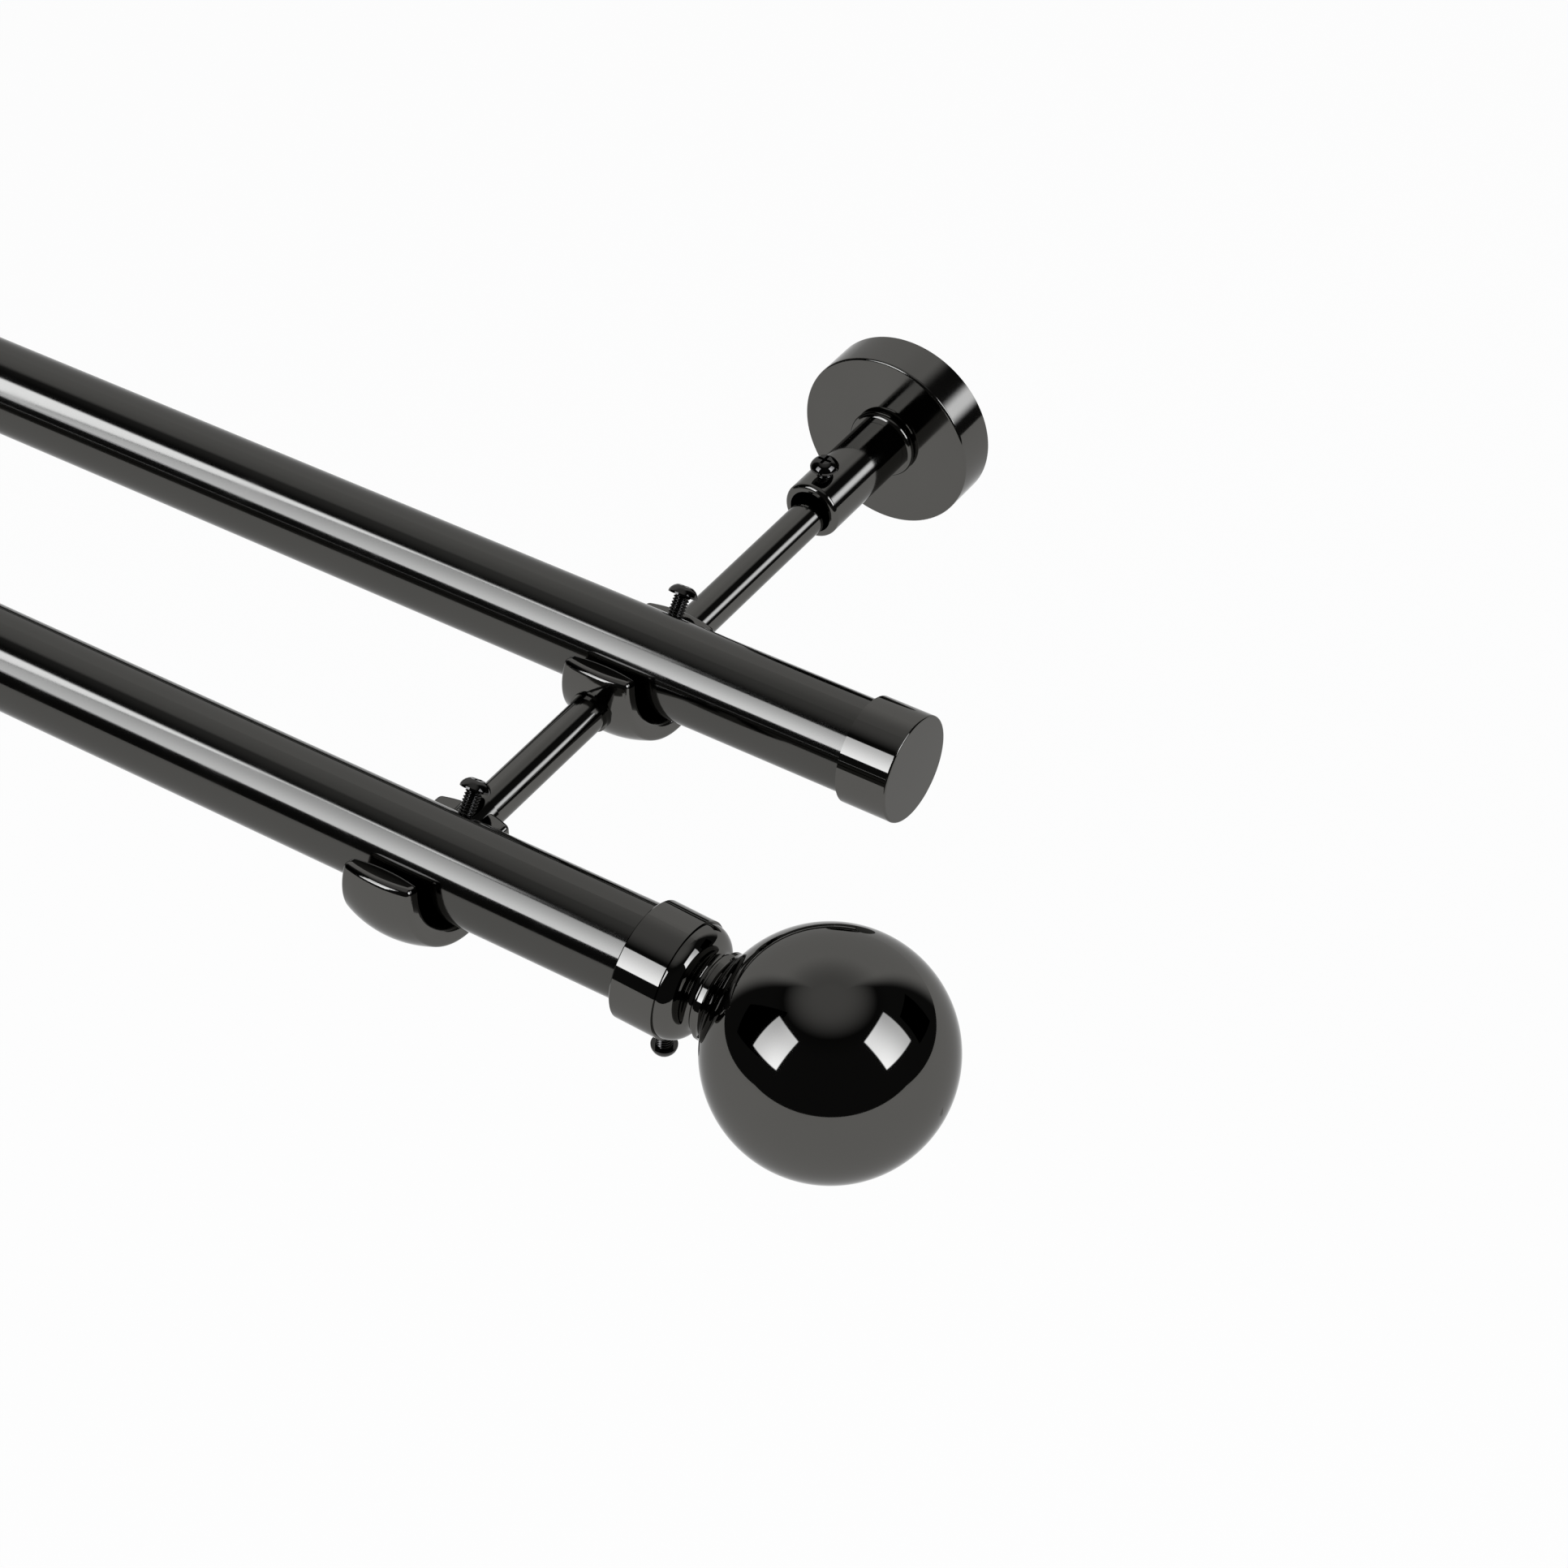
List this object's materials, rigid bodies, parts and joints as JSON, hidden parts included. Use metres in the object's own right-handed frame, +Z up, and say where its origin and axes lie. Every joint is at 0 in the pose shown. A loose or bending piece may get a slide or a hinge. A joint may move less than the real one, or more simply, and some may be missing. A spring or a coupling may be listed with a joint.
{
  "type": "double curtain pole",
  "caption": "Two parallel round curtain poles held one before the other in open cups on wall brackets, with ball finials on the front pole and sleeve caps on the rear one.",
  "frame": {"origin": "on the wall plane, midway between the brackets and level with their stems", "axes": "+X along the poles, +Y into the wall, +Z up"},
  "size_m": [1.342, 0.2815, 0.067],
  "materials": {
    "pole_plate": "polished black nickel plate on drawn steel tube",
    "cast_plate": "polished black nickel plate on turned and cast metal",
    "screw_plate": "black nickel plate on cut steel thread",
    "zinc_steel": "bright zinc plate, hidden behind the rose or inside the finial"
  },
  "bodies": {
    "root": {"cup_set_screws": "screw_plate", "finial_set_screws": "screw_plate", "front_pole": "pole_plate", "left_end_cap": "cast_plate", "left_finial_ball": "cast_plate", "left_finial_collar": "cast_plate", "left_finial_stud": "zinc_steel", "left_front_arm": "cast_plate", "left_front_cup": "cast_plate", "left_rear_arm": "cast_plate", "left_rear_cup": "cast_plate", "left_rose": "cast_plate", "left_stem": "cast_plate", "left_stem_bolt": "zinc_steel", "left_wall_plate": "zinc_steel", "rear_pole": "pole_plate", "right_end_cap": "cast_plate", "right_finial_ball": "cast_plate", "right_finial_collar": "cast_plate", "right_finial_stud": "zinc_steel", "right_front_arm": "cast_plate", "right_front_cup": "cast_plate", "right_rear_arm": "cast_plate", "right_rear_cup": "cast_plate", "right_rose": "cast_plate", "right_stem": "cast_plate", "right_stem_bolt": "zinc_steel", "right_wall_plate": "zinc_steel", "stem_set_screws": "screw_plate"}
  },
  "joints": []
}
